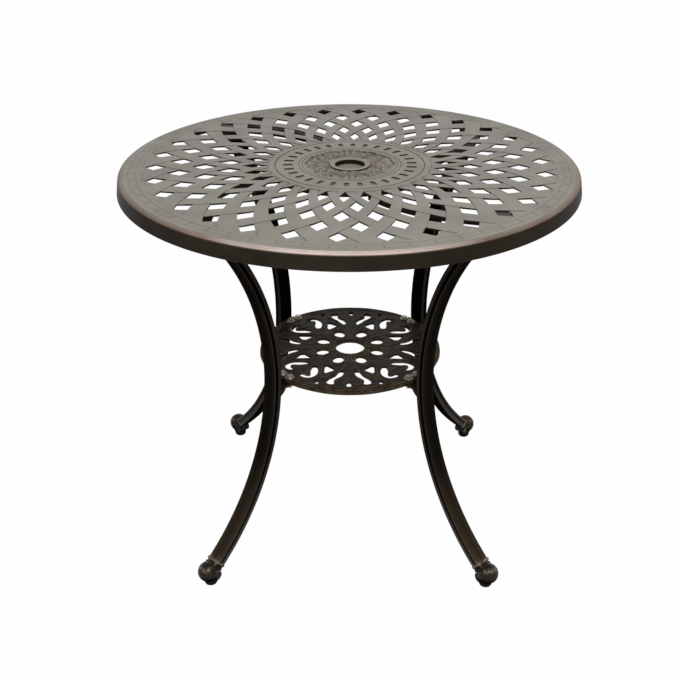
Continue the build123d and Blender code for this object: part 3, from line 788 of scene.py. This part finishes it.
shelf_plan = bpy.data.curves.new("lower_shelf", "CURVE")
shelf_plan.dimensions = "2D"
shelf_plan.fill_mode = "BOTH"
shelf_plan.extrude = shelf_thickness / 2 - shelf_edge
shelf_plan.bevel_depth = shelf_edge
shelf_plan.bevel_resolution = 2
shelf_plan.offset = -shelf_edge
round_outline(shelf_plan, middle_of_shelf, shelf_radius, 16, 12)
round_outline(shelf_plan, middle_of_shelf, shelf_bore_radius)
for start in (0, 90, 180, 270):
    smooth_outline(shelf_plan, softened(scroll(axis_hole, start)))
    diagonal = Matrix.Rotation(radians(start + 45), 4, "Z")
    for hand in (-1, 1):
        round_outline(shelf_plan, diagonal @ Vector((shelf_bolt_radius, hand * shelf_bolt_offset, 0)),
                      shelf_bolt_hole)
        for outline in (leaf_hole, comma_hole, hook_hole, dot_hole):
            smooth_outline(shelf_plan, scroll(outline, start, hand))
        smooth_outline(shelf_plan, softened(scroll(wedge_hole, start, hand)), True, "VECTOR")
shelf = mesh_of("pierced_shelf", shelf_plan)
shelf.data.transform(Matrix.Translation((0, 0, shelf_top - shelf_thickness / 2)))
cast_with(shelf, turned("shelf_relief", shelf_hollow), "DIFFERENCE")

ridge_lines = bpy.data.curves.new("shelf_ridges", "CURVE")
ridge_lines.dimensions = "3D"
ridge_lines.bevel_depth = ridge_radius
ridge_lines.bevel_resolution = 2
ridge_lines.use_fill_caps = True
for start in (0, 90, 180, 270):
    for hand in (-1, 1):
        for ridge in scroll_ridges:
            smooth_outline(ridge_lines, scroll(ridge, start, hand), False)
for ring_radius in ridge_rings:
    round_outline(ridge_lines, middle_of_shelf, ring_radius, 16, 6)
ridges = mesh_of("shelf_ridges", ridge_lines)
ridges.data.transform(Matrix.Translation((0, 0, shelf_top - ridge_sink)))
work_on(shelf)
ridges.select_set(True)
bpy.ops.object.join()
smooth(shelf, 40)
shelf_finish, tree, shader, painted = paint_finish(
    "antique_bronze_shelf", (0.0075, 0.0060, 0.0042), (0.022, 0.0165, 0.0105), (0.17, 0.115, 0.066), 60, 0.9,
    0.34, 0.5)
shader.inputs["Specular IOR Level"].default_value = 0.07
dress(shelf, shelf_finish)
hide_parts("lower_shelf")
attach(shelf, "frame")

# SCROLL FEET
# A casting that plugs the tube's lower end: a two-ridge collar, the scroll's ball, and a heel drum
# with two beads that curl round on each side. The glide screws into the heel.
glide_radius = 357 * mm
collar_point = Vector((340.6 * mm, 0, 42.4 * mm))
down_leg = Vector((0.7400, 0, -0.6726))
along_leg = Matrix((Vector((0.6726, 0, 0.7400)), Vector((0, 1, 0)), down_leg)).transposed()
collar_ridges = ((2.5, 20.4, 30.8, 5, 0.6), (6.5, 17.4, 28, 4, 0), (10.3, 19.4, 29.8, 4.2, 0.4))
ridge_rounding = 1.7 * mm
neck_size = (16 * mm, 25 * mm, 8 * mm)
neck_step = 7 * mm
neck_corner = 3 * mm
ball_centre = Vector((361.76 * mm, 0, 28.56 * mm))
ball_radius = 19 * mm
heel_middle = Vector((glide_radius, 0, 28 * mm))
heel_radius = 13 * mm
heel_length = 22 * mm
heel_underside = 17 * mm
pad_room_radius = 12.8 * mm
drum_middle = Vector((353 * mm, 0, 20.5 * mm))
drum_radius = 10.8 * mm
drum_side = 12.6 * mm
curl_beads = ((9.4, 1.8), (5.0, 1.5))
crossways = Matrix.Rotation(radians(90), 4, "X")
nothing_selected()
bpy.ops.mesh.primitive_uv_sphere_add(segments=48, ring_count=24, radius=ball_radius, location=ball_centre)
foot = bpy.context.object
bpy.ops.object.transform_apply()

neck = block("neck", neck_size, collar_point + down_leg * neck_step, along_leg, neck_corner, upright_edges)
nothing_selected()
bpy.ops.mesh.primitive_cylinder_add(vertices=40, radius=heel_radius, depth=heel_length, location=heel_middle)
heel = bpy.context.object
bpy.ops.object.transform_apply()
work_on(neck)
heel.select_set(True)
bpy.ops.object.join()
bpy.ops.object.mode_set(mode="EDIT")
bpy.ops.mesh.select_all(action="SELECT")
bpy.ops.mesh.convex_hull()
tidy_mesh(neck)
cast_with(foot, neck, "UNION")
for step, depth, width, length, shift in collar_ridges:
    middle = collar_point + down_leg * step * mm + along_leg @ Vector((shift * mm, 0, 0))
    ridge = block("collar_ridge", (depth * mm, width * mm, length * mm), middle, along_leg, ridge_rounding)
    cast_with(foot, ridge, "UNION")
nothing_selected()
bpy.ops.mesh.primitive_cylinder_add(vertices=48, radius=drum_radius, depth=2 * drum_side)
drum = bpy.context.object
drum.data.transform(Matrix.Translation(drum_middle) @ crossways)
cast_with(foot, drum, "UNION")
for hand in (-1, 1):
    for ring_radius, bead in curl_beads:
        nothing_selected()
        bpy.ops.mesh.primitive_torus_add(major_radius=ring_radius * mm, minor_radius=bead * mm,
                                         major_segments=64, minor_segments=12)
        curl = bpy.context.object
        curl.data.transform(Matrix.Translation(drum_middle + Vector((0, hand * drum_side, 0))) @ crossways)
        cast_with(foot, curl, "UNION")
nothing_selected()
bpy.ops.mesh.primitive_cylinder_add(vertices=48, radius=pad_room_radius, depth=heel_underside,
                                    location=(glide_radius, 0, heel_underside / 2))
pad_room = bpy.context.object
bpy.ops.object.transform_apply()
cast_with(foot, pad_room, "DIFFERENCE")
tidy_mesh(foot)
smooth(foot, 40)

foot_finish, tree, shader, painted = paint_finish(
    "antique_bronze_feet", (0.010, 0.0078, 0.0050), (0.020, 0.0145, 0.0092), (0.36, 0.27, 0.21), 40, 1.0,
    0.22, 0.32)
own, place, facing, from_axis = surface(tree)
past_collar = combine(tree, "SUBTRACT", times(tree, from_axis, down_leg.x),
                      times(tree, place["Z"], -down_leg.z))
past_collar = combine(tree, "SUBTRACT", past_collar, collar_point.dot(down_leg))
rub = larger(tree, spread(tree, past_collar, 11.8 * mm, 13.5 * mm, 1.0, 0.12),
             spread(tree, from_axis, 353.5 * mm, 355.5 * mm, 0.75, 0.0))
tree.links.new(rub, painted["Color"].node.inputs["Rub Amount"])
# Painted highlight: patches of bright bronze on the upper side of the ball.
ball_highlight = times(tree, band(tree, facing["Z"], (0.35, 0.62), (0.95, 0.75)),
              spread(tree, past_collar, 12 * mm, 16 * mm))
ball_highlight = times(tree, ball_highlight, spread(tree, noise(tree, own, 120, 2), 0.44, 0.66))
colour = coat(tree, ball_highlight, painted["Color"], (0.22, 0.172, 0.132))
shade = larger(tree, spread(tree, facing["Z"], 0.1, -0.45),
               spread(tree, place["Z"], 20 * mm, 11 * mm, 0.0, 0.9))
tree.links.new(coat(tree, shade, colour, (0.003, 0.0026, 0.0022)), shader.inputs["Base Color"])
tree.links.new(spread(tree, shade, 0.0, 0.7, 0.10, 0.0), shader.inputs["Specular IOR Level"])
copies_at_corners(foot, "foot_casting", foot_finish, "frame", "scroll_foot")

# LEVELLING FEET
# A zinc-plated stud turns in a steel insert in the heel and carries a moulded black pad.
# The pad slides out as the stud is turned.
pad_profile = [(0, 0), (7.4, 0), (9.2, 0.5), (10.6, 1.6), (11.6, 3.4), (12, 5.6), (12, 10.5), (11.6, 12)]
pad_profile += [(10.6, 13.3), (9.2, 13.9), (8, 14), (4.1, 14), (4.05, 8.1), (0, 8.1)]
stud_profile = [(0, 4), (6.6, 4), (7, 4.4), (7, 7.6), (6.6, 8), (3.7, 8), (3.7, 30), (3.2, 31), (0, 31)]
glide_centre = Vector((glide_radius, 0, 0))
thread_pitch = 1.25 * mm
thread_low = 9 * mm
thread_high = 29.5 * mm
shank_high = 30 * mm
thread_cuts = 70
thread_root = 3.25 * mm
thread_depth = 0.7 * mm


def speckled_finish(name, scale, detail, high, dark, pale, gloss_low, gloss_high, strength, depth):
    """A material with a fine speckle in its colour, gloss and relief; gives it and its shader."""
    material = bpy.data.materials.new(name)
    material.use_nodes = True
    tree = material.node_tree
    shader = tree.nodes["Principled BSDF"]
    speckle = noise(tree, node(tree, "ShaderNodeTexCoord").outputs["Object"], scale, detail)
    colour = mix_colors(tree, spread(tree, speckle, 0.35, high), (*dark, 1), (*pale, 1))
    tree.links.new(colour, shader.inputs["Base Color"])
    tree.links.new(spread(tree, speckle, 0.3, 0.7, gloss_low, gloss_high), shader.inputs["Roughness"])
    relief(tree, shader, speckle, strength, depth)
    return material, shader


black_plastic, shader = speckled_finish("black_plastic", 600, 2, 0.7, (0.006, 0.006, 0.006),
                                        (0.014, 0.013, 0.013), 0.42, 0.6, 0.15, 0.4 * mm)
shader.inputs["Specular IOR Level"].default_value = 0.04
zinc, shader = speckled_finish("zinc_plated_steel", 260, 4, 0.68, (0.30, 0.265, 0.225), (0.44, 0.395, 0.340),
                               0.28, 0.48, 0.1, 0.3 * mm)
shader.inputs["Metallic"].default_value = 0.9

pad = turned("glide_pad", pad_profile, 48, closed=False)
pad.data.transform(Matrix.Translation(glide_centre))
smooth(pad)
copies_at_corners(pad, "floor_pad", black_plastic, "glide_{}", "glide_pad")

stud = turned("levelling_stud", stud_profile, 32, closed=False)
work_on(stud)
bpy.ops.object.mode_set(mode="EDIT")
pick_edges(stud, lambda middle, along: abs(along.z) > 0.9 and thread_low < middle.z < shank_high)
bpy.ops.mesh.subdivide(number_cuts=thread_cuts)
bpy.ops.object.mode_set(mode="OBJECT")
for point in stud.data.vertices:
    if thread_low < point.co.z < thread_high:
        turn = atan2(point.co.y, point.co.x) / (2 * pi)
        wave = abs((point.co.z / thread_pitch - turn) % 1 - 0.5) * 2
        scale = (thread_root + thread_depth * wave) / hypot(point.co.x, point.co.y)
        point.co.x *= scale
        point.co.y *= scale
stud.data.transform(Matrix.Translation(glide_centre))
smooth(stud, 60)
copies_at_corners(stud, "threaded_stud", zinc, "stud_{}", "levelling_stud")
for corner in leg_angles:
    dress(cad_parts[f"foot_insert_{corner}"], zinc)

# BOLTS, WASHERS AND NUTS
# Hexagon bolts hold the flanges up against the top and the shelf down on its brackets.
# All are zinc plated, with flat washers, and the heads and nuts have their corners turned off.
bolt_across = 10 * mm
head_height = 4 * mm
nut_height = 5 * mm
shank_radius = 3 * mm
nut_bore_radius = 3.05 * mm
washer_bore = 3.3
washer_edge = 0.3
flange_bolt_radius = 354 * mm
flange_bolt_offset = 9 * mm
shelf_head_base = 361.2 * mm
flange_head_base = 699.8 * mm
nut_base = 343 * mm


def hexagon(name, height, base):
    """A hexagon head or nut with its corners turned off, from a base height upwards."""
    nothing_selected()
    bpy.ops.mesh.primitive_cylinder_add(vertices=6, radius=bolt_across / 2 / cos(pi / 6), depth=height,
                                        location=(0, 0, base + height / 2))
    head = bpy.context.object
    head.name = name
    bpy.ops.object.transform_apply()
    nothing_selected()
    bpy.ops.mesh.primitive_cone_add(vertices=32, radius1=bolt_across * 0.90, radius2=bolt_across * 0.47,
                                    depth=height * 1.06, location=(0, 0, base + height * 0.53))
    cone = bpy.context.object
    bpy.ops.object.transform_apply()
    cast_with(head, cone, "INTERSECT")
    return head


def rod(name, radius, low, high):
    """A round bar with chamfered ends, from one height to another."""
    nothing_selected()
    bpy.ops.mesh.primitive_cylinder_add(vertices=24, radius=radius, depth=high - low,
                                        location=(0, 0, (low + high) / 2))
    bar = bpy.context.object
    bar.name = name
    bpy.ops.object.transform_apply()
    bpy.ops.object.mode_set(mode="EDIT")
    pick_edges(bar, lambda middle, along: abs(along.z) < 0.1)
    bpy.ops.mesh.bevel(offset=0.4 * mm, segments=2, affect="EDGES")
    bpy.ops.object.mode_set(mode="OBJECT")
    return bar


def washer(name, outer, low, high):
    """A flat ring with rounded edges, all in millimetres."""
    profile = [(washer_bore, low), (outer - washer_edge, low), (outer, low + washer_edge)]
    profile += [(outer, high - washer_edge), (outer - washer_edge, high), (washer_bore, high)]
    return turned(name, profile, 32)


def set_of(piece, name, radius, offset, node_name):
    """Copy one fastener to the pairs of places at the four legs, all in one piece."""
    pair = []
    for hand in (-1, 1):
        copy = piece.copy()
        copy.data = piece.data.copy()
        bpy.context.collection.objects.link(copy)
        copy.data.transform(first_corner @ Matrix.Translation((radius, hand * offset, 0)))
        pair.append(copy)
    bpy.data.objects.remove(piece)
    work_on(pair[0])
    pair[1].select_set(True)
    bpy.ops.object.join()
    ring_copies(pair[0], len(leg_angles))
    pair[0].name = name
    smooth(pair[0], 30)
    dress(pair[0], zinc)
    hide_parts(node_name)
    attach(pair[0], "frame")


shelf_bolt = hexagon("shelf_bolt", head_height, shelf_head_base)
cast_with(shelf_bolt, rod("shank", shank_radius, 340 * mm, 362 * mm), "UNION")
set_of(shelf_bolt, "shelf_hex_bolts", shelf_bolt_radius, shelf_bolt_offset, "shelf_bolts")
shelf_washer = washer("shelf_washer", 8, 360, 361.2)
set_of(shelf_washer, "shelf_flat_washers", shelf_bolt_radius, shelf_bolt_offset, "shelf_washers")
shelf_nut = hexagon("shelf_nut", nut_height, nut_base)
cast_with(shelf_nut, rod("nut_bore", nut_bore_radius, 340 * mm, 350 * mm), "DIFFERENCE")
set_of(shelf_nut, "shelf_hex_nuts", shelf_bolt_radius, shelf_bolt_offset, "shelf_nuts")
top_bolt = hexagon("top_bolt", head_height, 0)
top_bolt.data.transform(Matrix.Translation((0, 0, flange_head_base)) @ Matrix.Rotation(pi, 4, "X"))
cast_with(top_bolt, rod("shank", shank_radius, 699 * mm, 715 * mm), "UNION")
set_of(top_bolt, "top_hex_bolts", flange_bolt_radius, flange_bolt_offset, "top_bolts")
top_washer = washer("top_washer", 6, 699.8, 701)
set_of(top_washer, "top_flat_washers", flange_bolt_radius, flange_bolt_offset, "top_washers")

# FLOOR, LIGHT AND CAMERA
# A pale floor under a white surround, a wide soft lamp overhead, a weaker one at the front, and a
# small one by the camera for the highlights.
floor_size = 12
floor_drop = 0.5 * mm
floor_veil = 0.985
ambient = 0.22
lamps = (("overhead_lamp", (0.2, -0.3, 2.6), (0, 0, 0.6), 2.4, 24),
         ("front_lamp", (-1.6, -2.2, 1.9), (0, 0, 0.4), 1.4, 8),
         ("small_lamp", (0.45, -1.95, 1.95), (0, 0, 0.1), 0.3, 22))


def seen_directly(tree):
    """1 for rays that show a surface, straight, in a gloss or through a clear thing; 0 for light."""
    rays = node(tree, "ShaderNodeLightPath").outputs
    mirrored = larger(tree, rays["Is Camera Ray"], rays["Is Glossy Ray"])
    return larger(tree, mirrored, rays["Is Transmission Ray"])


nothing_selected()
bpy.ops.mesh.primitive_plane_add(size=floor_size, location=(0, 0, -floor_drop))
floor = bpy.context.object
floor.name = "floor"
floor_finish = bpy.data.materials.new("pale_floor")
floor_finish.use_nodes = True
tree = floor_finish.node_tree
shader = tree.nodes["Principled BSDF"]
shader.inputs["Base Color"].default_value = (0.82, 0.82, 0.82, 1)
shader.inputs["Roughness"].default_value = 0.9
shader.inputs["Specular IOR Level"].default_value = 0.0
glow = node(tree, "ShaderNodeEmission", inputs={"Color": (1, 1, 1, 1), "Strength": 1.0})
veil = node(tree, "ShaderNodeMixShader")
tree.links.new(times(tree, seen_directly(tree), floor_veil), veil.inputs[0])
tree.links.new(shader.outputs[0], veil.inputs[1])
tree.links.new(glow.outputs[0], veil.inputs[2])
tree.links.new(veil.outputs[0], tree.nodes["Material Output"].inputs["Surface"])
dress(floor, floor_finish)

surround = bpy.data.worlds.new("white_surround")
bpy.context.scene.world = surround
surround.use_nodes = True
tree = surround.node_tree
light = mix_colors(tree, seen_directly(tree), (ambient, ambient, ambient, 1), (1, 1, 1, 1))
tree.links.new(light, tree.nodes["Background"].inputs["Color"])

for name, place, aim, size, power in lamps:
    nothing_selected()
    bpy.ops.object.light_add(type="AREA", location=place)
    lamp = bpy.context.object
    lamp.name = name
    lamp.data.shape = "DISK"
    lamp.data.size = size
    lamp.data.energy = power
    lamp.rotation_euler = (Vector(aim) - Vector(place)).to_track_quat("-Z", "Y").to_euler()

nothing_selected()
bpy.ops.object.camera_add(location=(0.0287, -1.7600, 1.299),
                          rotation=(radians(62.278), radians(-0.233), radians(0.329)))
camera = bpy.context.object
camera.data.lens = 55.66
camera.data.sensor_width = 36
camera.data.shift_x = -0.03222
bpy.context.scene.camera = camera
bpy.context.scene.view_settings.view_transform = "Standard"
